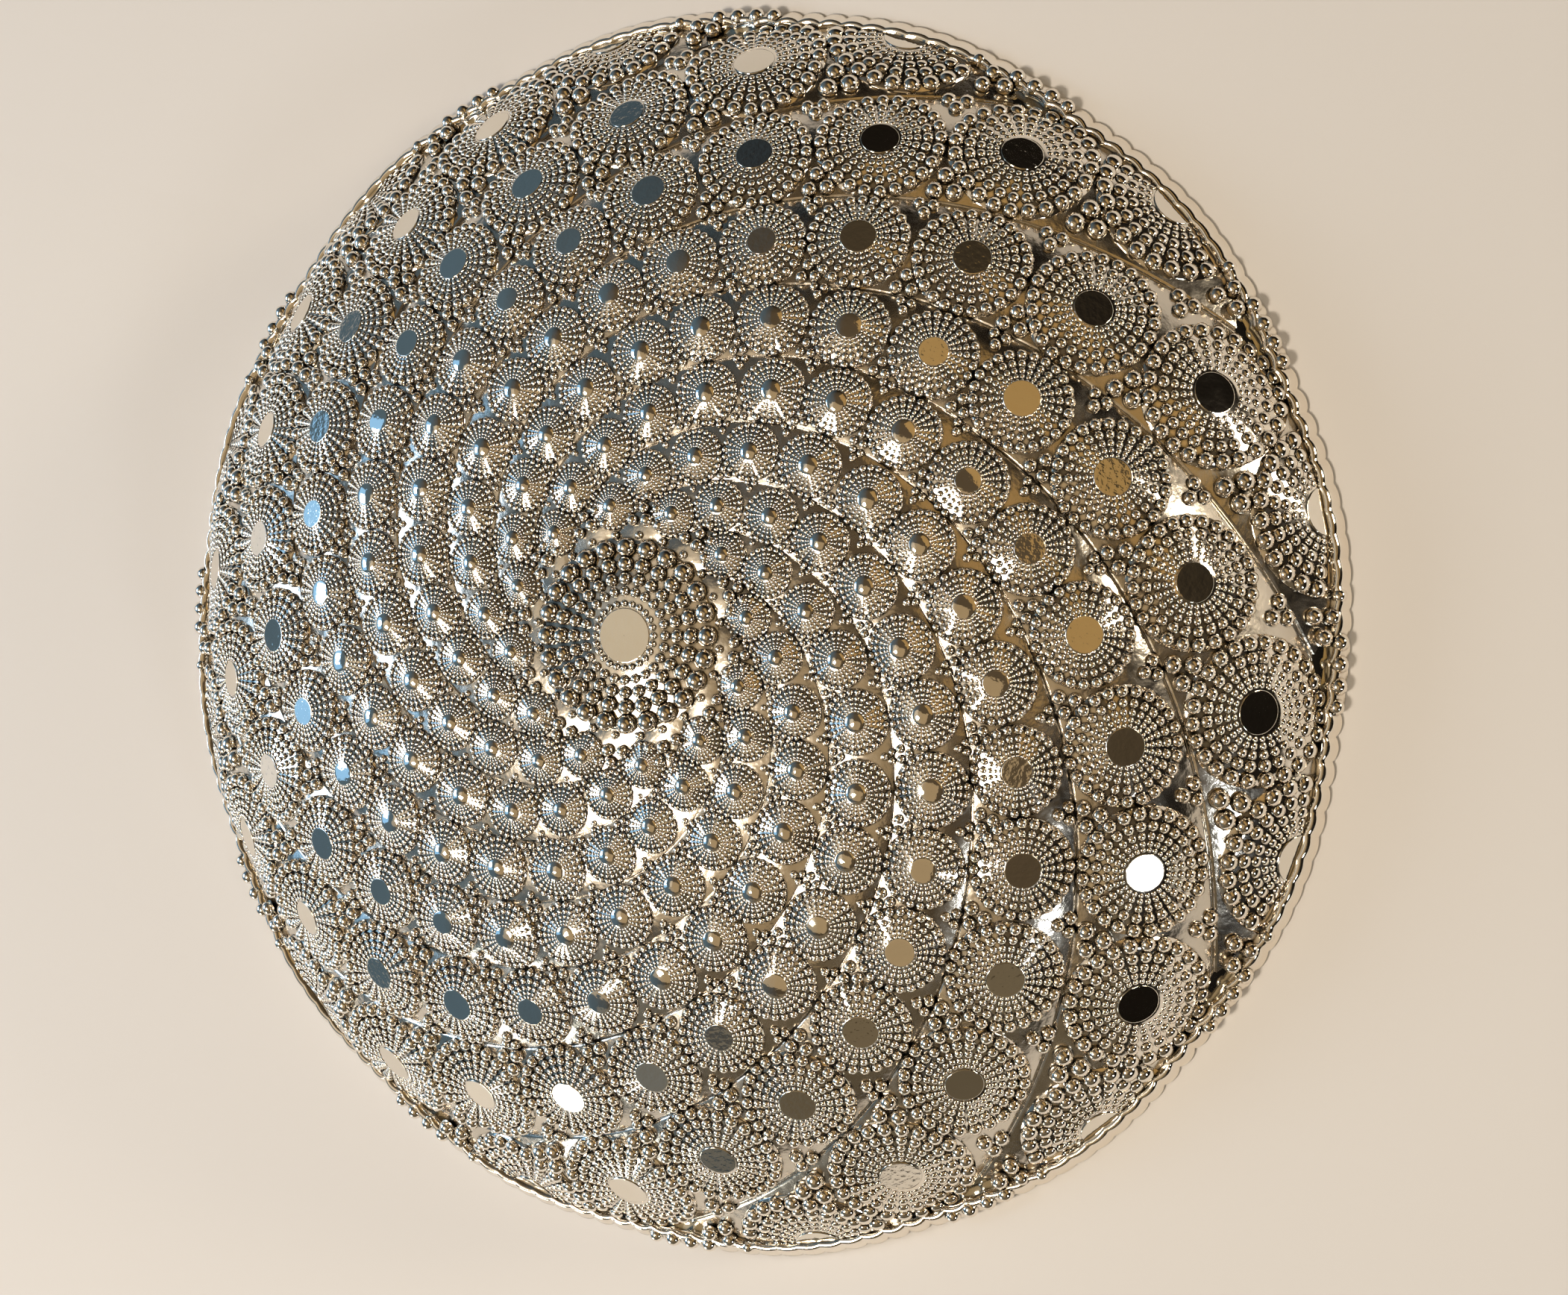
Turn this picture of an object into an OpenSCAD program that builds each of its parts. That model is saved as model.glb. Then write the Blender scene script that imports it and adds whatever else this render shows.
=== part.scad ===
// Round pressed-glass bowl with a mirror-silvered outside, lying rim down.
// The outside is pressed into twelve spiral lobes round a centre rosette. Each lobe
// carries one row of touching rosettes that shrink from the rim to the centre.
// Millimetres. The origin is the middle of the rim's resting plane and +Z runs up
// through the centre of the dome.

/* [Bowl] */
// Diameter over the rim lip at the resting plane
rim_d = 280; // [274:1:290]
// Radius of the nearly flat crown
crown_r = 680; // [600:10:800]
// Diameter of the circle where the crown meets the rounded shoulder
crown_d = 106; // [96:1:112]
// Radius of the rounded shoulder between crown and rim
shoulder_r = 120; // [114:0.5:126]
// Thickness of the glass under the relief
glass_t = 3; // [2.5:0.1:4]
// Height of the relief, from the glass to the flat mirror discs
relief_t = 2.2; // [1.9:0.1:2.6]
// Height of the rim lip
lip_h = 2.4; // [2:0.1:3]

/* [Spiral lobes] */
// Number of spiral lobes round the bowl
lobe_count = 12; // [12]
// Height of a lobe's base above the glass
lobe_t = 1.1; // [0.8:0.1:1.3]
// Angle that one lobe fills, which leaves the groove between neighbours
lobe_angle = 29; // [28:0.1:29.5]
// Angle of the first rosette at the rim, seen from above
start_angle = -19.4; // [-30:0.1:0]

/* [Rosettes] */
// Number of rosettes in the row along one lobe
row_count = 15; // [15]
// Distance of the first rosette from the bowl's axis
row_start_r = 137.9; // [137:0.1:138.5]
// Inward step from the first rosette to the second
row_step = 12.6; // [12.4:0.1:12.6]
// How much each inward step is smaller than the one before
row_step_loss = 1.05; // [1.05:0.01:1.1]
// Number of steps that shrink before they stay alike
row_loss_steps = 6; // [6]
// Inward step over the inner part of the row
row_even_step = 6.37; // [6.2:0.01:6.4]
// Height of a rosette's edge above its lobe
edge_rise = 0.4; // [0.2:0.1:0.5]
// Share of a rosette's radius that its flat mirror disc takes
disc_share = 0.28; // [0.25:0.01:0.32]
// Number of raised rings on each rosette that stand for its larger bead rings
bead_rings = 3; // [3]
// Share of a rosette's radius at which its outer ring of beads lies
outer_ring_share = 0.885; // [0.87:0.005:0.89]

/* [Centre rosette] */
// Diameter over the outer ring of beads
centre_d = 41.4; // [40:0.1:42]
// Diameter of the flat mirror disc in its middle
centre_disc_d = 11.4; // [10:0.1:12]
// Number of raised rings that stand for the larger bead rings
ring_count = 3; // [3]
// Radius of the beads in the outer ring
ring_bead_r = 2.3; // [2:0.1:2.5]
// Size of each ring against the next ring inward
ring_growth = 1.27; // [1.24:0.01:1.3]

/* [Hidden] */
$fn = 180;
rim_r = rim_d / 2;
centre_r = centre_d / 2;
// Slope of the dome where crown and shoulder meet, and the heights of the two arc centres
join_slope = asin(crown_d / 2 / crown_r);
shoulder_x = (crown_r - shoulder_r) * sin(join_slope);
shoulder_z = -sqrt(pow(shoulder_r, 2) - pow(rim_r - shoulder_x, 2));
crown_z = shoulder_z - (crown_r - shoulder_r) * cos(join_slope);
// Facets of the dome's two large arcs and of a raised ring's round
dome_facets = 720;
ring_facets = 48;
// Size of a rosette and of a ring of the centre rosette against the room that each has
rosette_share = 0.97;
ring_share = 0.9;
// A ridge on a rosette: half its width and its height against the ring's radius, and
// the share of its width that is level on top
ridge_share = 0.1;
ridge_rise = 0.11;
top_share = 0.4;
// Depth of a rosette's foot in the glass, of the centre disc's, and reach of cutters
foot = 1;
disc_foot = 0.3;
past = 10;
// The glass and a lobe's base, as offsets from the dome that all discs touch
glass_grow = -relief_t;
base_grow = glass_grow + lobe_t;
// Places on the row where the spiral's turn changes, and its turn before and after them
turn_places = [4, 9, 12];
turns = [12.4, 11.5, 13.2, 15.2];
// Places between which the lobe's outline is drawn, past the rim and into the centre
row_last = row_count - 1;
outline_first = -1;
outline_last = row_count + 0.5;
outline_step = 0.5;

// Height and slope of the dome that all discs touch, at distance r from the axis
function dome_z(r) = r < crown_d / 2
    ? crown_z + sqrt(pow(crown_r, 2) - pow(r, 2))
    : shoulder_z + sqrt(pow(shoulder_r, 2) - pow(r - shoulder_x, 2));
function dome_slope(r) = r < crown_d / 2
    ? asin(r / crown_r)
    : asin((r - shoulder_x) / shoulder_r);

// Distance from the axis and angle of place n on a row, 0 at the rim
function curved_r(n) = row_start_r - row_step * n + row_step_loss * n * (n - 1) / 2;
function row_r(n) = n < row_loss_steps
    ? curved_r(n)
    : curved_r(row_loss_steps) - row_even_step * (n - row_loss_steps);
function span(n, low, high) = min(max(n, low), high) - low;
function row_angle(n) = start_angle + turns[0] * min(n, turn_places[0])
    + turns[1] * span(n, turn_places[0], turn_places[1])
    + turns[2] * span(n, turn_places[1], turn_places[2])
    + turns[3] * max(n - turn_places[2], 0);

// Place n on a row as a point, and the radius of the rosette that fills it
function row_point(n) = [
    row_r(n) * cos(row_angle(n)), row_r(n) * sin(row_angle(n)), dome_z(row_r(n))
];
function row_gap(n) = norm(row_point(n + 1) - row_point(n));
function rosette_r(n) = n == 0
    ? row_gap(0) / 2
    : (row_gap(n - 1) + row_gap(min(n, row_last - 1))) / 4;

// Solid under the dome, grown outward by the given distance
module dome(grow) {
    join_r = (crown_r + grow) * sin(join_slope);
    rotate_extrude() intersection() {
        square([rim_r + past, crown_r]);
        union() {
            translate([shoulder_x, shoulder_z]) circle(shoulder_r + grow, $fn = dome_facets);
            intersection() {
                translate([0, crown_z]) circle(crown_r + grow, $fn = dome_facets);
                square([join_r, crown_r]);
            }
        }
    }
}

// Glass with a smooth inside and a flat resting rim, thickened by the rim lip
module glass_wall() {
    color([0.80, 0.80, 0.78]) difference() {
        union() {
            dome(glass_grow);
            intersection() {
                dome(0);
                cylinder(r = rim_r + past, h = lip_h);
            }
        }
        dome(glass_grow - glass_t);
    }
}

// Outline of one lobe from above: the row's own spiral, turned either way
module lobe_outline() {
    half = lobe_angle / 2;
    places = [for (n = [outline_first : outline_step : outline_last]) n];
    polygon(concat(
        [for (n = places) row_r(n) * [cos(row_angle(n) - half), sin(row_angle(n) - half)]],
        [for (i = [len(places) - 1 : -1 : 0])
            let (n = places[i], a = row_angle(n) + half) row_r(n) * [cos(a), sin(a)]]
    ));
}

// Low cone square to the dome, with its edge near the lobe and a flat mirror disc on
// top. Each of its larger rings of beads is one ridge, as wide as the beads.
module rosette(n) {
    reach = rosette_r(n) * rosette_share;
    disc_r = reach * disc_share;
    drop = pow(reach, 2) / (2 * shoulder_r);
    edge_z = base_grow + edge_rise - drop;
    rings = [for (i = [bead_rings - 1 : -1 : 0]) reach * outer_ring_share * pow(ring_growth, -i)];
    function cone_z(r) = edge_z * (r - disc_r) / (reach - disc_r);
    rotate([0, 0, row_angle(n)])
        translate([row_r(n), 0, dome_z(row_r(n))])
            rotate([0, dome_slope(row_r(n)), 0])
                rotate_extrude() polygon(concat(
                    [[0, glass_grow - drop - foot], [0, 0], [disc_r, 0]],
                    [for (r = rings, side = [-1, -top_share, top_share, 1])
                        let (x = r * (1 + side * ridge_share))
                            [x, cone_z(x) + (abs(side) < 1 ? r * ridge_rise : 0)]],
                    [[reach, edge_z], [reach, glass_grow - drop - foot]]
                ));
}

// One spiral lobe of the relief with its row of rosettes
module lobe(number) {
    color([0.77, 0.76, 0.73])
    rotate([0, 0, 360 / lobe_count * (number - 1)])
    difference() {
        intersection() {
            union() {
                dome(base_grow);
                for (n = [0 : row_last]) rosette(n);
            }
            translate([0, 0, lip_h]) linear_extrude(height = rim_r) lobe_outline();
        }
        dome(glass_grow);
        cylinder(r = centre_r, h = rim_r);
    }
}

// Raised rings that grow outward round a flat disc
module centre_rosette() {
    outer_ring_r = centre_r - ring_bead_r;
    color([0.82, 0.81, 0.78]) difference() {
        rotate_extrude() union() {
            intersection() {
                translate([0, crown_z]) circle(crown_r + base_grow, $fn = dome_facets);
                square([centre_r, crown_r]);
            }
            for (i = [0 : ring_count - 1]) {
                shrink = pow(ring_growth, -i);
                ring_r = outer_ring_r * shrink;
                translate([ring_r, dome_z(ring_r) + base_grow])
                    circle(ring_bead_r * shrink * ring_share, $fn = ring_facets);
            }
        }
        dome(glass_grow);
    }
    color([0.82, 0.81, 0.78]) translate([0, 0, dome_z(0) + base_grow - disc_foot])
        cylinder(d = centre_disc_d, h = disc_foot - base_grow);
}

glass_wall();
centre_rosette();
lobe(1);  // lobe_01
lobe(2);  // lobe_02
lobe(3);  // lobe_03
lobe(4);  // lobe_04
lobe(5);  // lobe_05
lobe(6);  // lobe_06
lobe(7);  // lobe_07
lobe(8);  // lobe_08
lobe(9);  // lobe_09
lobe(10);  // lobe_10
lobe(11);  // lobe_11
lobe(12);  // lobe_12
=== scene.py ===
"""Looks of a round silvered glass bowl that lies rim down.

The bowl is one glass pressing with a mirror coat on its outside. Sizes are in
millimetres until a mesh is made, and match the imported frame.
"""

import math

import bpy
import numpy as np
from mathutils import Matrix


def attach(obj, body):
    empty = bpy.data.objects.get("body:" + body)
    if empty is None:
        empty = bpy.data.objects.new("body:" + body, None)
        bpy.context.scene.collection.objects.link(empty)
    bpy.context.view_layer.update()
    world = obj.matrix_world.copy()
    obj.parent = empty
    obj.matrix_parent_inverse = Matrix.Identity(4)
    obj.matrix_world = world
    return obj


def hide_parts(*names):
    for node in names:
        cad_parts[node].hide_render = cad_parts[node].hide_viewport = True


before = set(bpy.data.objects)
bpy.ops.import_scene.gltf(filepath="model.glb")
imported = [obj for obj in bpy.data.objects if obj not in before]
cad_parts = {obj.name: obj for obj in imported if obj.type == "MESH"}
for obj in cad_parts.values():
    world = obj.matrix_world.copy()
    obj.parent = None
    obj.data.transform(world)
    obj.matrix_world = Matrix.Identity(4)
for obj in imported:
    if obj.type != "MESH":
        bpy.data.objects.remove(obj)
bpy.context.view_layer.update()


# ---------------------------------------------------------------------------
# Glass wall
# The bowl is pressed in one piece from clear soda-lime glass. Its inside is smooth
# and takes the mirror coat of the outside through the glass. It rests on a flat
# ground rim, and the rim lip outside that is pressed into small round scallops.
# ---------------------------------------------------------------------------
METRE = 0.001
LIP_R = 140.0
CROWN_R = 680.0
CROWN_EDGE = 53.0
SHOULDER_R = 120.0
RELIEF_T = 2.2
GLASS_T = 3.0

JOIN_SLOPE = math.asin(CROWN_EDGE / CROWN_R)
SHOULDER_X = (CROWN_R - SHOULDER_R) * math.sin(JOIN_SLOPE)
SHOULDER_Z = -math.sqrt(SHOULDER_R**2 - (LIP_R - SHOULDER_X) ** 2)
CROWN_Z = SHOULDER_Z - (CROWN_R - SHOULDER_R) * math.cos(JOIN_SLOPE)


def dome_height(r):
    """Height of the dome that all mirror discs touch, at distance r from the axis."""
    crown = CROWN_Z + np.sqrt(CROWN_R**2 - np.minimum(r, CROWN_EDGE) ** 2)
    shoulder = SHOULDER_Z + np.sqrt(
        np.maximum(SHOULDER_R**2 - (np.maximum(r, CROWN_EDGE) - SHOULDER_X) ** 2, 0)
    )
    return np.where(r < CROWN_EDGE, crown, shoulder)


def dome_slope(r):
    """Slope of that dome, in radians."""
    crown = np.arcsin(np.minimum(r, CROWN_EDGE) / CROWN_R)
    shoulder = np.arcsin(np.clip((r - SHOULDER_X) / SHOULDER_R, 0, 1))
    return np.where(r < CROWN_EDGE, crown, shoulder)


def dome_frame(x, y):
    """Directions away from the dome, downhill and sideways at plan places x, y."""
    turn = np.arctan2(y, x)
    slope = dome_slope(np.hypot(x, y))
    out = np.stack(
        [np.sin(slope) * np.cos(turn), np.sin(slope) * np.sin(turn), np.cos(slope)], -1
    )
    down = np.stack(
        [np.cos(slope) * np.cos(turn), np.cos(slope) * np.sin(turn), -np.sin(slope)], -1
    )
    side = np.stack([-np.sin(turn), np.cos(turn), np.zeros_like(turn)], -1)
    return out, down, side


def on_dome(x, y, rise):
    """Points over plan places x, y, moved away from the dome by rise."""
    out = dome_frame(x, y)[0]
    foot = np.stack([x, y, dome_height(np.hypot(x, y))], -1)
    return foot + out * np.asarray(rise)[..., None]


def grid_faces(rows, columns, closed):
    """Four-cornered faces between neighbouring points of a grid, in rows."""
    last = columns if closed else columns - 1
    row, column = np.meshgrid(np.arange(rows - 1), np.arange(last), indexing="ij")
    after = (column + 1) % columns
    corners = [row * columns + column, row * columns + after,
               (row + 1) * columns + after, (row + 1) * columns + column]
    return np.stack(corners, -1).reshape(-1, 4)


class Shells:
    """Collects the shells that make up one piece's mesh. Beads and sheets are closed; a
    rosette's skirt and disc end inside what they stand on."""

    def __init__(self):
        self.points, self.faces, self.finishes, self.count = [], [], [], 0

    def add(self, points, faces, finish=0):
        """Adds points and faces; finish is the place of the material on the piece."""
        points = np.asarray(points, float).reshape(-1, 3)
        self.points.append(points)
        for face in faces:
            self.faces.append([int(corner) + self.count for corner in face])
        self.finishes += [finish] * len(faces)
        self.count += len(points)

    def mesh(self, name, materials):
        """The mesh of all shells, in metres, shaded smooth."""
        mesh = bpy.data.meshes.new(name)
        points = np.concatenate(self.points) * METRE
        mesh.from_pydata(points.tolist(), [], self.faces)
        for material in materials:
            mesh.materials.append(material)
        mesh.polygons.foreach_set("material_index", self.finishes)
        mesh.polygons.foreach_set("use_smooth", [True] * len(self.faces))
        mesh.update()
        return mesh


def srgb(code):
    """Linear colour of an sRGB hex code."""
    parts = [int(code[i:i + 2], 16) / 255 for i in (1, 3, 5)]
    return [c / 12.92 if c <= 0.04045 else ((c + 0.055) / 1.055) ** 2.4 for c in parts] + [1.0]


def add_node(tree, kind, values=None, links=None, **settings):
    """Adds a node: values sets its sockets, links joins other nodes' outputs to them."""
    node = tree.nodes.new(kind)
    for name, value in settings.items():
        setattr(node, name, value)
    for socket, value in (values or {}).items():
        node.inputs[socket].default_value = value
    for socket, output in (links or {}).items():
        tree.links.new(output, node.inputs[socket])
    return node


# Painted shade: in crevices the silver's colour goes dark towards this colour, fully where the open
# share is below the first level and not at all above the second
CREVICE_SHADE_COLOUR = "#171513"
AGEING_MM, GRAIN_MM, CREVICE_MM = 22, 6, 0.9
CREVICE_FULL_SHADE, CREVICE_NO_SHADE = 0.28, 0.8


def silvered_glass(name, pale, tarnished, ripple_mm, ripple_depth_mm, roughness):
    """Mirror silver laid on pressed glass: bright, faintly warm where it has aged, darkened
    by painted shade in the crevices, and never quite flat, because hot glass leaves the
    mould with a fine ripple."""
    material = bpy.data.materials.new(name)
    material.use_nodes = True
    tree = material.node_tree
    tree.nodes.clear()
    place = add_node(tree, "ShaderNodeTexCoord")
    ageing = add_node(
        tree, "ShaderNodeTexNoise",
        {"Scale": 1 / (AGEING_MM * METRE), "Detail": 5.0, "Roughness": 0.6},
        {"Vector": place.outputs["Object"]},
    )
    tint = add_node(
        tree, "ShaderNodeMix", {6: srgb(pale), 7: srgb(tarnished)},
        {0: ageing.outputs["Fac"]}, data_type="RGBA",
    )
    # Painted shade: ambient occlusion darkens the silver's colour in the crevices between beads,
    # where shade falls
    crevice = add_node(
        tree, "ShaderNodeAmbientOcclusion", {"Distance": CREVICE_MM * METRE}, samples=6)
    open_share = add_node(
        tree, "ShaderNodeMapRange", {"From Min": CREVICE_FULL_SHADE, "From Max": CREVICE_NO_SHADE},
        {"Value": crevice.outputs["AO"]},
    )
    painted_shade = add_node(
        tree, "ShaderNodeMix", {6: srgb(CREVICE_SHADE_COLOUR)},
        {0: open_share.outputs["Result"], 7: tint.outputs[2]}, data_type="RGBA",
    )
    grain = add_node(
        tree, "ShaderNodeTexNoise", {"Scale": 1 / (GRAIN_MM * METRE), "Detail": 4.0},
        {"Vector": place.outputs["Object"]},
    )
    blur = add_node(
        tree, "ShaderNodeMapRange",
        {"From Min": 0.35, "From Max": 0.75, "To Min": roughness, "To Max": roughness * 2},
        {"Value": grain.outputs["Fac"]},
    )
    ripple = add_node(
        tree, "ShaderNodeTexNoise", {"Scale": 1 / (ripple_mm * METRE), "Detail": 2.5},
        {"Vector": place.outputs["Object"]},
    )
    bump = add_node(
        tree, "ShaderNodeBump", {"Strength": 1.0, "Distance": ripple_depth_mm * METRE},
        {"Height": ripple.outputs["Fac"]},
    )
    shader = add_node(
        tree, "ShaderNodeBsdfPrincipled", {"Metallic": 1.0},
        {"Base Color": painted_shade.outputs[2], "Roughness": blur.outputs["Result"],
         "Normal": bump.outputs["Normal"]},
    )
    add_node(tree, "ShaderNodeOutputMaterial", links={"Surface": shader.outputs["BSDF"]})
    return material


# Inside, the silver is seen on smooth glass: a clear mirror with a long, weak ripple
wall_silver = silvered_glass("silvered_glass_inside", "#E6E8E4", "#D3D2C8", 14.0, 0.012, 0.03)

# The glass's outside lies sunk under the foot of the relief, so that neither shows a gap
SUNK = 1.0
glass_outside, glass_inside = -RELIEF_T - SUNK, -RELIEF_T - GLASS_T
WALL_STEPS = 180
CAP_R, CROWN_RINGS = 0.6, 8
SHOULDER_FROM, SHOULDER_TO, SHOULDER_RINGS = 58.0, LIP_R + 3, 34
wall = Shells()
wall_turns = np.linspace(0, 2 * math.pi, WALL_STEPS, endpoint=False)


def lathe(profile_r, profile_z, turns):
    """Points of a profile turned round the axis; profile_r may change with the turn."""
    r = np.broadcast_to(profile_r, (len(profile_z), len(turns)))
    z = np.broadcast_to(np.asarray(profile_z)[:, None], r.shape)
    return np.stack([r * np.cos(turns), r * np.sin(turns), z], -1)


def wall_profile(rise, low):
    """Distance from the axis and height along a glass surface, from the axis to where
    it comes down to the height low."""
    r = np.concatenate([np.linspace(CAP_R, CROWN_EDGE, CROWN_RINGS),
                        np.linspace(SHOULDER_FROM, SHOULDER_TO, SHOULDER_RINGS)])
    points = on_dome(r, np.zeros_like(r), np.full_like(r, rise))
    return points[points[:, 2] > low][:, [0, 2]]


OUTSIDE_LOW, INSIDE_LOW = 2.0, 0.6
REST_INSET, FOOT_INSET, FOOT_Z = 2.0, 2.6, 1.9
outer_line = wall_profile(glass_outside, OUTSIDE_LOW)
inner_line = wall_profile(glass_inside, INSIDE_LOW)
rest_inner_r = LIP_R + glass_inside / math.sin(dome_slope(np.float64(LIP_R)))
section = np.concatenate([
    inner_line,
    [[rest_inner_r, 0.0], [LIP_R - REST_INSET, 0.0], [LIP_R - FOOT_INSET, FOOT_Z]],
    outer_line[::-1],
])
wall_rings = lathe(section[:, :1], section[:, 1], wall_turns)
wall.add(wall_rings, grid_faces(len(section), WALL_STEPS, True)[:, ::-1])
cap = np.arange(WALL_STEPS)
wall.add(wall_rings[0], [cap[::-1]])
wall.add(wall_rings[-1], [cap])

# The lip swells past each lobe's first rosette, and its scallops are deeper between them
LOBES = 12
SCALLOPS = 168
SCALLOP_DEPTH, SCALLOP_ROUND = 0.9, 0.7
SCALLOP_MEAN, SCALLOP_CHANGE = 0.7, 0.3
LIP_STEPS = SCALLOPS * 8
LIP_PAST = 0.5
LIP_FINISH = 1
SWELL, SWELL_TURN = 0.6, math.radians(-22)
lip_turns = np.linspace(0, 2 * math.pi, LIP_STEPS, endpoint=False)
swell = np.cos(LOBES * (lip_turns - SWELL_TURN))
notch = 1 - np.abs(np.sin(lip_turns * SCALLOPS / 2)) ** SCALLOP_ROUND
lip_r = (LIP_R + LIP_PAST + SWELL * swell
         - SCALLOP_DEPTH * (SCALLOP_MEAN - SCALLOP_CHANGE * swell) * notch)
# Each point of the lip's section: its place in from the scalloped outline, and its height
lip_section = [(-5.5, 0.0), (-0.6, 0.0), (-0.1, 0.35), (-0.12, 0.8), (-0.7, 1.65),
               (-1.3, 2.5), (-1.9, 3.35), (-2.3, 3.55), (-3.0, 3.3), (-5.0, 1.6)]
lip_points = np.stack([
    lathe((lip_r + inset)[None, :], [height], lip_turns)[0] for inset, height in lip_section
])
lip_faces = grid_faces(len(lip_section), LIP_STEPS, True)
first_row = np.arange(LIP_STEPS)
next_in_row = (first_row + 1) % LIP_STEPS
last_row = (len(lip_section) - 1) * LIP_STEPS
closing = np.stack(
    [last_row + first_row, last_row + next_in_row, next_in_row, first_row], -1)
# On the pressed relief the silver is bright, with a short ripple that breaks up highlights
relief_silver = silvered_glass("silvered_glass_relief", "#F8F4EC", "#EADFCF", 2.5, 0.022, 0.06)
wall.add(lip_points, np.concatenate([lip_faces, closing]), LIP_FINISH)

wall_piece = bpy.data.objects.new(
    "silvered_wall", wall.mesh("silvered_wall", [wall_silver, relief_silver]))
bpy.context.scene.collection.objects.link(wall_piece)
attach(wall_piece, "root")
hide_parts("glass_wall")


# ---------------------------------------------------------------------------
# Spiral lobes
# Twelve lobes of the relief wind inward, each arched across and meeting the next in a
# crisp valley. A row of touching rosettes runs down each one: a flat mirror disc in
# five rings of beads, all pressed with the glass and silvered with it.
# ---------------------------------------------------------------------------
ROSETTES = 15
LOBE_HALF = math.radians(15)
START = math.radians(-19.4)
# The row's first place, its first step inward, how much each step is smaller than the one
# before, and the even step that it keeps after some steps
ROW_START_R, ROW_STEP, ROW_STEP_LOSS, ROW_EVEN_STEP, LOSS_STEPS = 137.9, 12.6, 1.05, 6.37, 6
# Places where the row's turn from one rosette to the next changes, and its turns in degrees
TURN_PLACES, TURNS = [4, 9, 12], [12.4, 11.5, 13.2, 15.2]


def row_r(n):
    """Distance from the axis of place n on a row, 0 at the rim."""
    few = np.minimum(n, LOSS_STEPS)
    curved = ROW_START_R - ROW_STEP * few + ROW_STEP_LOSS * few * (few - 1) / 2
    return curved - ROW_EVEN_STEP * np.maximum(n - LOSS_STEPS, 0)


def row_turn(n):
    """Angle of place n on the first row, in radians."""
    first, second, third = TURN_PLACES
    turns = (TURNS[0] * np.minimum(n, first) + TURNS[1] * (np.clip(n, first, second) - first)
             + TURNS[2] * (np.clip(n, second, third) - second)
             + TURNS[3] * np.maximum(n - third, 0))
    return START + np.radians(turns)


def row_point(n):
    """The middle of the mirror disc at place n."""
    r, a = row_r(np.float64(n)), row_turn(np.float64(n))
    return np.array([r * math.cos(a), r * math.sin(a), dome_height(r)])


gaps = [np.linalg.norm(row_point(n + 1) - row_point(n)) for n in range(ROSETTES - 1)]
rosette_radii = [(gaps[n - 1] + gaps[min(n, ROSETTES - 2)]) / 4 for n in range(1, ROSETTES)]
rosette_radii.insert(0, gaps[0] - rosette_radii[0])


def rosette_size(n):
    """Radius of the rosette at place n, also between whole places."""
    return np.interp(n, np.arange(ROSETTES), rosette_radii)


# Twentieths of a place, from past the rim to inside the centre rosette
places = np.linspace(-1.5, 16.5, 361)
place_r = row_r(places)


def lobe_place(x, y):
    """Place along the row, and place across the lobe from -1 to 1."""
    n = np.interp(-np.hypot(x, y), -place_r, places)
    across = np.arctan2(y, x) - row_turn(n)
    across = (across + math.pi) % (2 * math.pi) - math.pi
    return n, across / LOBE_HALF


# How far the crest of a lobe's ground lies under its discs along the row, how much the
# ground falls to both sides as a share of the rosette's radius, and the bevel at its edge
CREST_PLACES, CREST_DROPS = [0, 2, 5, 6, 9], [0.6, 0.95, 1.5, 1.45, 1.35]
ARCH_SHARE, ARCH_LIMIT = 0.14, 1.2
ARCH_PLACES, ARCH_FADE = [6, 12], [1.0, 0.6]
BEVEL_SHARE, BEVEL_DROP = 0.045, 0.3


def ground_rise(n, across):
    """Rise of a lobe's smooth ground: arched across, bevelled along the valleys, and lower
    beside the inner rosettes."""
    crest = np.interp(n, CREST_PLACES, CREST_DROPS)
    arch = ARCH_SHARE * rosette_size(n) * np.interp(n, ARCH_PLACES, ARCH_FADE)
    bevel = np.clip((np.abs(across) - 1) / BEVEL_SHARE + 1, 0, 1)
    return -crest - arch * np.minimum(across**2, ARCH_LIMIT) - BEVEL_DROP * bevel


# Share by which rosettes are drawn out downhill, at these places on the row
STRETCH_PLACES, STRETCHES = [1, 2, 3.5], [0.20, 0.085, 0.0]


def near_place(n, along_down, along_side):
    """Plan places of points laid out on the dome round place n of the first row."""
    stretch = np.interp(n, STRETCH_PLACES, STRETCHES)
    along_down = np.where(along_down > 0, along_down * (1 + stretch), along_down)
    middle = row_point(n)
    out, down, side = dome_frame(middle[0], middle[1])
    r = math.hypot(middle[0], middle[1])
    down_bend = SHOULDER_R if r > CROWN_EDGE else CROWN_R
    drop = along_down**2 / (2 * down_bend) + along_side**2 * math.sin(dome_slope(r)) / (2 * r)
    points = (middle + along_down[..., None] * down + along_side[..., None] * side
              - drop[..., None] * out)
    return points[..., 0], points[..., 1]


GROUND_REACH, GROUND_LOW = LIP_R - 0.9, 0.5
BEAD_REACH = LIP_R + 0.3


def within(points, reach):
    """Draws points in to the distance reach from the axis, where they lie past it."""
    points = points.copy()
    r = np.hypot(points[..., 0], points[..., 1])
    points[..., :2] *= np.minimum(1, reach / np.maximum(r, 1))[..., None]
    return points


def inside_rim(points):
    """Keeps points of a smooth face off the table and inside the lip's width."""
    points = points.copy()
    points[..., 2] = np.maximum(points[..., 2], GROUND_LOW)
    return within(points, GROUND_REACH)


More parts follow.
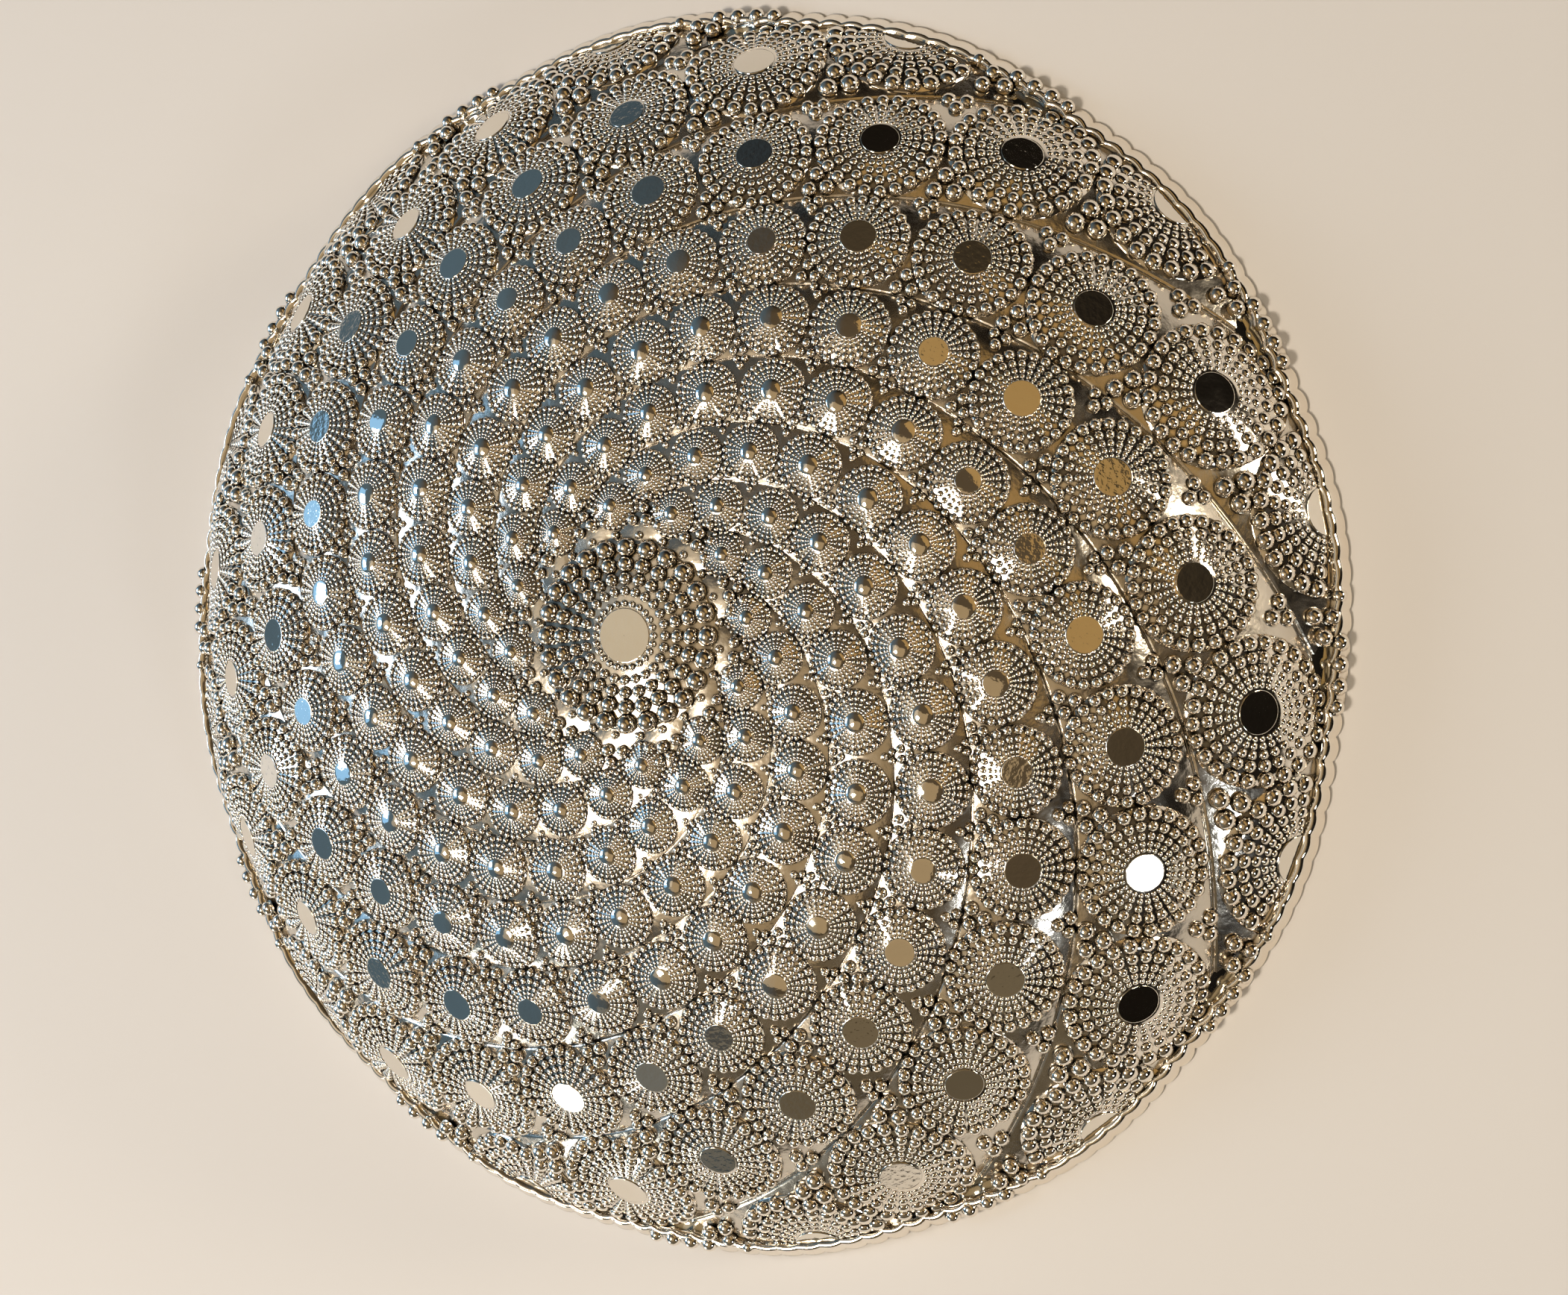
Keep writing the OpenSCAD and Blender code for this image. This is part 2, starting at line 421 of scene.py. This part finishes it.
def bead_shape(steps, falls):
    """Points and faces of a bead of radius 1: rings from the top down to a hidden foot."""
    fall = np.radians(falls)
    turns = np.linspace(0, 2 * math.pi, steps, endpoint=False)
    points = [[0, 0, 1]]
    for angle in fall:
        points += [[math.sin(angle) * math.cos(t), math.sin(angle) * math.sin(t),
                    math.cos(angle)] for t in turns]
    faces = [[0, 1 + i, 1 + (i + 1) % steps] for i in range(steps)]
    for row in range(len(fall) - 1):
        low, high = 1 + row * steps, 1 + (row + 1) * steps
        faces += [[low + i, high + i, high + (i + 1) % steps, low + (i + 1) % steps]
                  for i in range(steps)]
    foot = 1 + (len(fall) - 1) * steps
    faces.append([foot + i for i in reversed(range(steps))])
    return np.array(points), faces


LARGE_BEAD = bead_shape(12, [24, 48, 72, 108])
MIDDLE_BEAD = bead_shape(9, [32, 64, 108])
SMALL_BEAD = bead_shape(7, [42, 108])
LARGE_FROM, MIDDLE_FROM = 1.15, 0.6
BEAD_LIFT = 0.06
# Beads that would stand below this height or past this distance are left out, and a bead
# is lower the nearer it stands to the rim
BEAD_LOW, BEAD_EDGE = 2.2, LIP_R - 1.0
LOWER_PLACES, LOWER_HEIGHTS = [LIP_R - 16, LIP_R - 6], [1.0, 0.55]


def add_beads(shells, x, y, rise, radius, height=1.0):
    """Adds beads at plan places x, y, standing on the given rise, where they clear the rim.
    A bead of height 1 is half a ball."""
    x, y, rise, radius = [np.ravel(v) for v in np.broadcast_arrays(x, y, rise, radius)]
    middle = on_dome(x, y, rise + BEAD_LIFT * radius)
    r = np.hypot(middle[:, 0], middle[:, 1])
    shown = (middle[:, 2] > BEAD_LOW) & (r < BEAD_EDGE)
    lower = np.interp(r, LOWER_PLACES, LOWER_HEIGHTS)
    set_beads(shells, middle[shown], radius[shown], (height * lower)[shown])


def set_beads(shells, middle, radius, height=1.0):
    """Sets beads with their middles at the given points, square to the dome."""
    height = np.broadcast_to(height, radius.shape)[:, None]
    out, down, side = dome_frame(middle[:, 0], middle[:, 1])
    for shape, least, most in ((LARGE_BEAD, LARGE_FROM, math.inf),
                               (MIDDLE_BEAD, MIDDLE_FROM, LARGE_FROM),
                               (SMALL_BEAD, 0, MIDDLE_FROM)):
        chosen = (radius >= least) & (radius < most)
        if not chosen.any():
            continue
        unit, faces = shape
        axes = np.stack([down[chosen], side[chosen], height[chosen] * out[chosen]], 1)
        points = middle[chosen][:, None, :] + radius[chosen][:, None, None] * (unit @ axes)
        all_faces = [[corner + bead * len(unit) for corner in face]
                     for bead in range(len(points)) for face in faces]
        shells.add(within(points, BEAD_REACH), all_faces)


DISC_FINISH, GROUND_FINISH = 1, 2
lobe = Shells()

# The ground is a thin curved sheet with a back, so that it is a closed shell. Its columns
# stand close together on the bevels beside the valleys
GROUND_ROWS, GROUND_FROM, GROUND_TO = 120, -0.15, 15.25
BEVEL_COLUMNS = [0, 0.5, 1, 1.02, 1.6]
EVEN_COLUMNS, EVEN_REACH = 23, 0.88
GROUND_BACK = 0.9
ground_n = np.linspace(GROUND_FROM, GROUND_TO, GROUND_ROWS)
bevelled = 1 - BEVEL_SHARE * np.array(BEVEL_COLUMNS)
ground_across = np.concatenate(
    [-bevelled, np.linspace(-EVEN_REACH, EVEN_REACH, EVEN_COLUMNS), bevelled[::-1]])
GROUND_COLUMNS = len(ground_across)
n_grid, across_grid = np.meshgrid(ground_n, ground_across, indexing="ij")
ground_turn = row_turn(n_grid) + across_grid * LOBE_HALF
ground_x, ground_y = row_r(n_grid) * np.cos(ground_turn), row_r(n_grid) * np.sin(ground_turn)
face_up = inside_rim(on_dome(ground_x, ground_y, ground_rise(n_grid, across_grid)))
back_rise = np.full(n_grid.shape, -RELIEF_T - GROUND_BACK)
face_back = inside_rim(on_dome(ground_x, ground_y, back_rise))
faces = grid_faces(GROUND_ROWS, GROUND_COLUMNS, False)
index = np.arange(n_grid.size).reshape(n_grid.shape)
back = faces[:, ::-1] + index.size
border = np.concatenate([index[:, 0], index[-1, 1:], index[-2::-1, -1], index[0, -2:0:-1]])
next_border = np.roll(border, -1)
sides = np.stack([next_border, border, border + index.size, next_border + index.size], -1)
lobe.add(np.concatenate([face_up.reshape(-1, 3), face_back.reshape(-1, 3)]),
         np.concatenate([faces, back, sides]), GROUND_FINISH)

# Rosettes: a skirt of beads draped round a flat disc, or round a low button further in.
# Shares are of a rosette's radius; the beads of all five rings stand in 24 straight files
SKIRT_INNER = 0.285
SKIRT_SHARES = [SKIRT_INNER * 0.9, SKIRT_INNER, 0.4, 0.6, 0.8, 0.985, 0.99]
SKIRT_DROPS = [0.0, 0.0, 0.0, 0.0, 0.0, 0.0, 0.8]
SKIRT_STEPS = 48
DISC_DROP, EDGE_RISE = 0.12, 0.25
DISC_PLACES, DISC_SHARES = [1, 2, 4, 6, 8], [0.285, 0.29, 0.345, 0.31, 0.30]
BUTTON_PLACES, BUTTON_RISES = [5, 8, 14], [0.0, 0.22, 0.35]
RINGS = [0.345, 0.434, 0.549, 0.697, 0.885]
RING_HEIGHTS = [0.5, 0.55, 0.65, 0.8, 1.0]
INNER_PLACES, INNER_HEIGHTS = [4, 7], [1.0, 0.8]
FILES = 24
BEAD_SHARE, BEAD_FIT = math.sin(math.pi / FILES), 0.98
file_turns = np.linspace(0, 2 * math.pi, FILES, endpoint=False)
skirt_turns = np.linspace(0, 2 * math.pi, SKIRT_STEPS, endpoint=False)


def skirt_rise(n, share, around):
    """Rise of a rosette between its disc and its edge, for shares of its radius."""
    size = rosette_radii[n]
    x, y = near_place(n, size * np.cos(around), size * np.sin(around))
    edge = ground_rise(*lobe_place(x, y)) + EDGE_RISE
    along = (share - SKIRT_INNER) / (1 - SKIRT_INNER)
    return -DISC_DROP * (1 - along) + edge * along


# A disc's rows from its edge to its middle: share of its radius, and height. The first
# three give a crisp edge, and the rest the share of the button's rise that each has
DISC_EDGE = [(1.0, -0.55), (1.0, -0.03), (0.97, 0.0)]
DISC_TOP = [(0.93, 0.12), (0.7, 0.5), (0.35, 0.88), (0.01, 1.0)]

for n in range(ROSETTES):
    size = rosette_radii[n]
    rows = []
    for share, drop in zip(SKIRT_SHARES, SKIRT_DROPS):
        x, y = near_place(n, size * share * np.cos(skirt_turns), size * share * np.sin(skirt_turns))
        rows.append(on_dome(x, y, skirt_rise(n, max(share, SKIRT_INNER), skirt_turns) - drop))
    skirt = inside_rim(np.stack(rows))
    lobe.add(skirt, grid_faces(len(rows), SKIRT_STEPS, True)[:, ::-1])

    for share, height in zip(RINGS, RING_HEIGHTS):
        x, y = near_place(n, size * share * np.cos(file_turns), size * share * np.sin(file_turns))
        add_beads(lobe, x, y, skirt_rise(n, share, file_turns),
                  size * share * BEAD_SHARE * BEAD_FIT,
                  height * np.interp(n, INNER_PLACES, INNER_HEIGHTS))

    button = np.interp(n, BUTTON_PLACES, BUTTON_RISES) * size * SKIRT_INNER
    out, down, side = dome_frame(*row_point(n)[:2])
    disc_rows = []
    for share, height in DISC_EDGE + [(share, rise * button) for share, rise in DISC_TOP]:
        reach = size * np.interp(n, DISC_PLACES, DISC_SHARES) * share
        disc_rows.append(row_point(n) + reach * np.cos(skirt_turns)[:, None] * down
                         + reach * np.sin(skirt_turns)[:, None] * side + height * out)
    lobe.add(inside_rim(np.stack(disc_rows)), grid_faces(len(disc_rows), SKIRT_STEPS, True),
             DISC_FINISH)

# Three larger beads fill each gap between two rosettes, on both sides of the row: for each
# side its direction off the row, its distance from the row and the size of its beads
TRIOS = [(-90, 0.74, 0.123), (90, 0.56, 0.135)]
TRIO_BACK, TRIO_APART = 1.75, 1.03
for n in range(ROSETTES - 1):
    size = rosette_size(n + 0.5)
    ahead, behind = row_point(n + 0.75), row_point(n + 0.25)
    down, side = dome_frame(*row_point(n + 0.5)[:2])[1:]
    heading = math.atan2(np.dot(ahead - behind, side), np.dot(ahead - behind, down))
    for turned, near, share in TRIOS:
        bead = share * size
        away = heading + math.radians(turned)
        spots = [(near * size, 0.0), (near * size + TRIO_BACK * bead, bead * TRIO_APART),
                 (near * size + TRIO_BACK * bead, -bead * TRIO_APART)]
        far, aside = np.array(spots).T
        x, y = near_place(
            n + 0.5, far * math.cos(away) - aside * math.sin(away),
            far * math.sin(away) + aside * math.cos(away))
        add_beads(lobe, x, y, ground_rise(*lobe_place(x, y)), bead)

# Against the centre, beads fill the gap between the last rosettes of two lobes: distance
# from the axis, angle from the gap's middle, and bead radius
END_BEADS = [(24.3, 0.0, 1.5), (26.6, 2.2, 1.2), (24.0, 7.6, 1.25), (23.8, -7.2, 1.25),
             (27.0, -4.0, 1.1), (29.3, 1.0, 1.0)]
END_GAP_TURN, END_RISE = 11.8, -1.2
end_r, end_turn, end_bead = np.array(END_BEADS).T
end_turn = row_turn(ROSETTES - 1) + np.radians(END_GAP_TURN + end_turn)
add_beads(lobe, end_r * np.cos(end_turn), end_r * np.sin(end_turn), END_RISE, end_bead)

# Where two lobes meet at the rim, three beads stand below the row and more on the lip:
# distance from the axis, height, angle and bead radius
RIM_BEADS = [(133.5, 5.1, 1.67, 2.0), (136.8, 2.6, 1.6, 2.0), (135.3, 4.2, -0.17, 2.0),
             (138.3, 2.2, 3.4, 1.7), (138.3, 2.2, -0.55, 2.0), (138.3, 2.2, -2.4, 2.0),
             (138.3, 2.2, -4.25, 2.0), (138.3, 2.2, -6.0, 1.8)]
rim_r, rim_z, rim_turn, rim_bead = np.array(RIM_BEADS).T
rim_turn = np.radians(rim_turn)
set_beads(lobe, np.stack([rim_r * np.cos(rim_turn), rim_r * np.sin(rim_turn), rim_z], -1),
          rim_bead)

# On the flat discs the silver shows the mould's polish as fine wrinkles
disc_silver = silvered_glass("silvered_glass_disc", "#F3EFE7", "#E4DBCB", 1.3, 0.045, 0.04)
# On the ground between the rosettes it is duller, because polishing doesn't reach it
valley_silver = silvered_glass("silvered_glass_valley", "#E6E0D6", "#C9C0B0", 2.0, 0.10, 0.14)
lobe_mesh = lobe.mesh("mirror_lobe", [relief_silver, disc_silver, valley_silver])
for number in range(1, LOBES + 1):
    name = f"mirror_lobe_{number:02d}"
    turned_mesh = lobe_mesh.copy()
    turned_mesh.transform(Matrix.Rotation(2 * math.pi / LOBES * (number - 1), 4, "Z"))
    piece = bpy.data.objects.new(name, turned_mesh)
    bpy.context.scene.collection.objects.link(piece)
    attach(piece, "root")
    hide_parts(f"lobe_{number:02d}")


# ---------------------------------------------------------------------------
# Centre rosette
# The rows run out against one large rosette in the middle of the dome: a flat disc, five
# rings of 24 beads, and a small bead between each two of the outermost. It is pressed
# with the glass, and the bowl stands on it the other way up.
# ---------------------------------------------------------------------------
CENTRE_R = 21.7
CENTRE_DISC_R = 5.7
CENTRE_RINGS = [6.65, 9.2, 11.8, 14.8, 18.3]
CENTRE_BEAD_SHARE = 0.122
CENTRE_STEPS = 96
BASE_PLACES, BASE_RISES = [CENTRE_DISC_R, 12, CENTRE_R - 1.3], [-0.1, -0.6, -1.1]
BETWEEN_R, BETWEEN_RISE, BETWEEN_BEAD = 20.9, -1.3, 0.95
# Sections of the plate under the beads (distance from the axis, rise) and of the disc
# (share of its radius, rise)
PLATE = [(CENTRE_DISC_R * 0.9, -0.1), (CENTRE_DISC_R, -0.1), (12, -0.7), (18.5, -1.45),
         (CENTRE_R - 1.6, -1.5), (CENTRE_R - 1.1, -1.6), (CENTRE_R - 0.7, -2.0),
         (CENTRE_R - 0.7, -2.5)]
CENTRE_DISC = [(1.0, -0.5), (1.0, -0.03), (0.98, 0.0), (0.95, 0.0), (0.5, 0.0), (0.01, 0.0)]
centre = Shells()
around = np.linspace(0, 2 * math.pi, CENTRE_STEPS, endpoint=False)
rows = [on_dome(r * np.cos(around), r * np.sin(around), np.full(CENTRE_STEPS, rise))
        for r, rise in PLATE]
centre.add(np.stack(rows), grid_faces(len(rows), CENTRE_STEPS, True)[:, ::-1])
crown_top = float(dome_height(np.float64(0)))
rows = [np.stack([CENTRE_DISC_R * share * np.cos(around), CENTRE_DISC_R * share * np.sin(around),
                  np.full(CENTRE_STEPS, crown_top + rise)], -1)
        for share, rise in CENTRE_DISC]
centre.add(np.stack(rows), grid_faces(len(rows), CENTRE_STEPS, True), DISC_FINISH)
for r in CENTRE_RINGS:
    base = np.interp(r, BASE_PLACES, BASE_RISES)
    add_beads(centre, r * np.cos(file_turns), r * np.sin(file_turns), base, r * CENTRE_BEAD_SHARE)
between_turns = file_turns + math.pi / FILES
add_beads(centre, BETWEEN_R * np.cos(between_turns), BETWEEN_R * np.sin(between_turns),
          BETWEEN_RISE, BETWEEN_BEAD)
centre_piece = bpy.data.objects.new(
    "mirror_centre", centre.mesh("mirror_centre", [relief_silver, disc_silver]))
bpy.context.scene.collection.objects.link(centre_piece)
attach(centre_piece, "root")
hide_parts("centre_rosette")


# ---------------------------------------------------------------------------
# Table, light and camera
# A plain cream floor carries the bowl. The silver shows a dim room over it: a cool window
# to the left, a warm lamp overhead, small bright windows and warm walls to the right.
# ---------------------------------------------------------------------------
FLOOR_REACH = 4.0
floor_mesh = bpy.data.meshes.new("floor")
floor_mesh.from_pydata([(-FLOOR_REACH, -FLOOR_REACH, 0), (FLOOR_REACH, -FLOOR_REACH, 0),
                        (FLOOR_REACH, FLOOR_REACH, 0), (-FLOOR_REACH, FLOOR_REACH, 0)],
                       [], [(0, 1, 2, 3)])
floor = bpy.data.objects.new("floor", floor_mesh)
bpy.context.scene.collection.objects.link(floor)
# Matt paint: even and without a highlight, so that only the bowl's shadow falls on it
floor_paint = bpy.data.materials.new("cream_floor")
floor_paint.use_nodes = True
tree = floor_paint.node_tree
tree.nodes.clear()
paint = add_node(tree, "ShaderNodeBsdfPrincipled",
                 {"Base Color": srgb("#D6D3D0"), "Roughness": 0.9})
add_node(tree, "ShaderNodeOutputMaterial", links={"Surface": paint.outputs["BSDF"]})
floor_mesh.materials.append(floor_paint)

world = bpy.data.worlds.new("dim_room")
world.use_nodes = True
bpy.context.scene.world = world
tree = world.node_tree
tree.nodes.clear()
seen_from = add_node(tree, "ShaderNodeTexCoord")
split = add_node(tree, "ShaderNodeSeparateXYZ", links={"Vector": seen_from.outputs["Generated"]})
height = add_node(tree, "ShaderNodeMapRange", {"From Min": -1.0, "From Max": 1.0},
                  {"Value": split.outputs["Z"]})
room = add_node(tree, "ShaderNodeValToRGB", links={"Fac": height.outputs["Result"]})
# The room's colours from the floor up: sine of the elevation, and colour
ROOM_BANDS = [(-0.04, "#DCCFB8"), (0.01, "#1C1813"), (0.12, "#14110D"), (0.38, "#1E1A15"),
              (0.58, "#41382A"), (0.80, "#574A38")]
ramp = room.color_ramp
while len(ramp.elements) < len(ROOM_BANDS):
    ramp.elements.new(0.5)
for element, (sine, code) in zip(ramp.elements, ROOM_BANDS):
    element.position = (sine + 1) / 2
    element.color = srgb(code)
# Its left wall is lit blue-grey by the window
left = add_node(tree, "ShaderNodeMapRange", {"From Min": -0.1, "From Max": -0.7, "To Max": 0.9},
                {"Value": split.outputs["X"]})
sided = add_node(tree, "ShaderNodeMix", {7: srgb("#576C7A")},
                 {0: left.outputs["Result"], 6: room.outputs["Color"]}, data_type="RGBA")
dim = add_node(tree, "ShaderNodeBackground", {"Strength": 1.0}, {"Color": sided.outputs[2]})
add_node(tree, "ShaderNodeOutputWorld", links={"Surface": dim.outputs["Background"]})

LAMP_DISTANCE = 1.6


def panel(name, azimuth, elevation, wide_deg, high_deg, colour, radiance, in_silver=True):
    """A flat lamp seen from the bowl at these angles in degrees; radiance 1 looks white."""
    data = bpy.data.lights.new(name, "AREA")
    data.shape = "RECTANGLE"
    data.size = 2 * LAMP_DISTANCE * math.tan(math.radians(wide_deg / 2))
    data.size_y = 2 * LAMP_DISTANCE * math.tan(math.radians(high_deg / 2))
    data.color = srgb(colour)[:3]
    data.energy = radiance * math.pi * data.size * data.size_y
    lamp = bpy.data.objects.new(name, data)
    a, e = math.radians(azimuth), math.radians(elevation)
    away = np.array([math.cos(a) * math.cos(e), math.sin(a) * math.cos(e), math.sin(e)])
    lamp.location = away * LAMP_DISTANCE
    side = np.array([-math.sin(a), math.cos(a), 0.0])
    lift = np.cross(away, side)
    lamp.rotation_mode = "QUATERNION"
    lamp.rotation_quaternion = Matrix(np.stack([side, lift, away], 1).tolist()).to_quaternion()
    lamp.visible_camera = False
    lamp.visible_glossy = in_silver
    bpy.context.scene.collection.objects.link(lamp)


# Each one's azimuth, elevation, width, height, colour and radiance. The two fills stand for
# light from all round, which the silver would show as a large even patch if it had them
panel("window", 178, 25, 40, 28, "#7CAEDC", 1.3)
panel("window_middle", 178, 28, 20, 15, "#E6F1FF", 9.0)
panel("ceiling_lamp", -138, 64, 13, 11, "#FFF0DC", 48.0)
panel("pale_ceiling", 183, 66, 26, 18, "#FFF2DC", 0.24)
panel("warm_ceiling", -112, 72, 58, 50, "#FFDFAC", 0.30)
panel("bright_window", 18, 14, 11, 9, "#FFEFD6", 40.0)
panel("side_window", -37, 26, 6, 6, "#EEF3F6", 38.0)
panel("far_window", -125, 10, 14, 11, "#F2F4EE", 10.0)
panel("wooden_wall", 34, 50, 54, 22, "#C9A05C", 0.55)
panel("brown_wall", -88, 22, 64, 34, "#A8977A", 0.28)
panel("cool_fill", 180, 35, 60, 40, "#E3EEFF", 0.12, False)
panel("warm_fill", -10, 30, 60, 40, "#FFDCA8", 0.26, False)

# The camera's place and lens, fitted to the photo: its tilt from the vertical and its
# azimuth in radians, its distance and target in rim radii
CAMERA_TILT, CAMERA_AZIMUTH = 0.37118, 0.04072
CAMERA_DISTANCE = 3.6056 * LIP_R
CAMERA_TARGET = np.array([0.11349, -0.02183, 0.0]) * LIP_R
FOCAL_PX, PHOTO_WIDTH = 3014.92, 2102
SENSOR_WIDTH, CLIP_START = 36, 0.02
camera_data = bpy.data.cameras.new("camera")
camera_data.sensor_width = SENSOR_WIDTH
camera_data.lens = FOCAL_PX / PHOTO_WIDTH * camera_data.sensor_width
camera_data.clip_start = CLIP_START
camera = bpy.data.objects.new("camera", camera_data)
toward = np.array([math.sin(CAMERA_TILT) * math.cos(CAMERA_AZIMUTH),
                   math.sin(CAMERA_TILT) * math.sin(CAMERA_AZIMUTH), math.cos(CAMERA_TILT)])
camera.location = (CAMERA_TARGET + CAMERA_DISTANCE * toward) * METRE
right = np.cross(-toward, [0, 1, 0])
right /= np.linalg.norm(right)
camera.rotation_mode = "QUATERNION"
camera.rotation_quaternion = Matrix(
    np.stack([right, np.cross(right, -toward), toward], 1).tolist()).to_quaternion()
bpy.context.scene.collection.objects.link(camera)
bpy.context.scene.camera = camera
bpy.context.scene.view_settings.view_transform = "Standard"
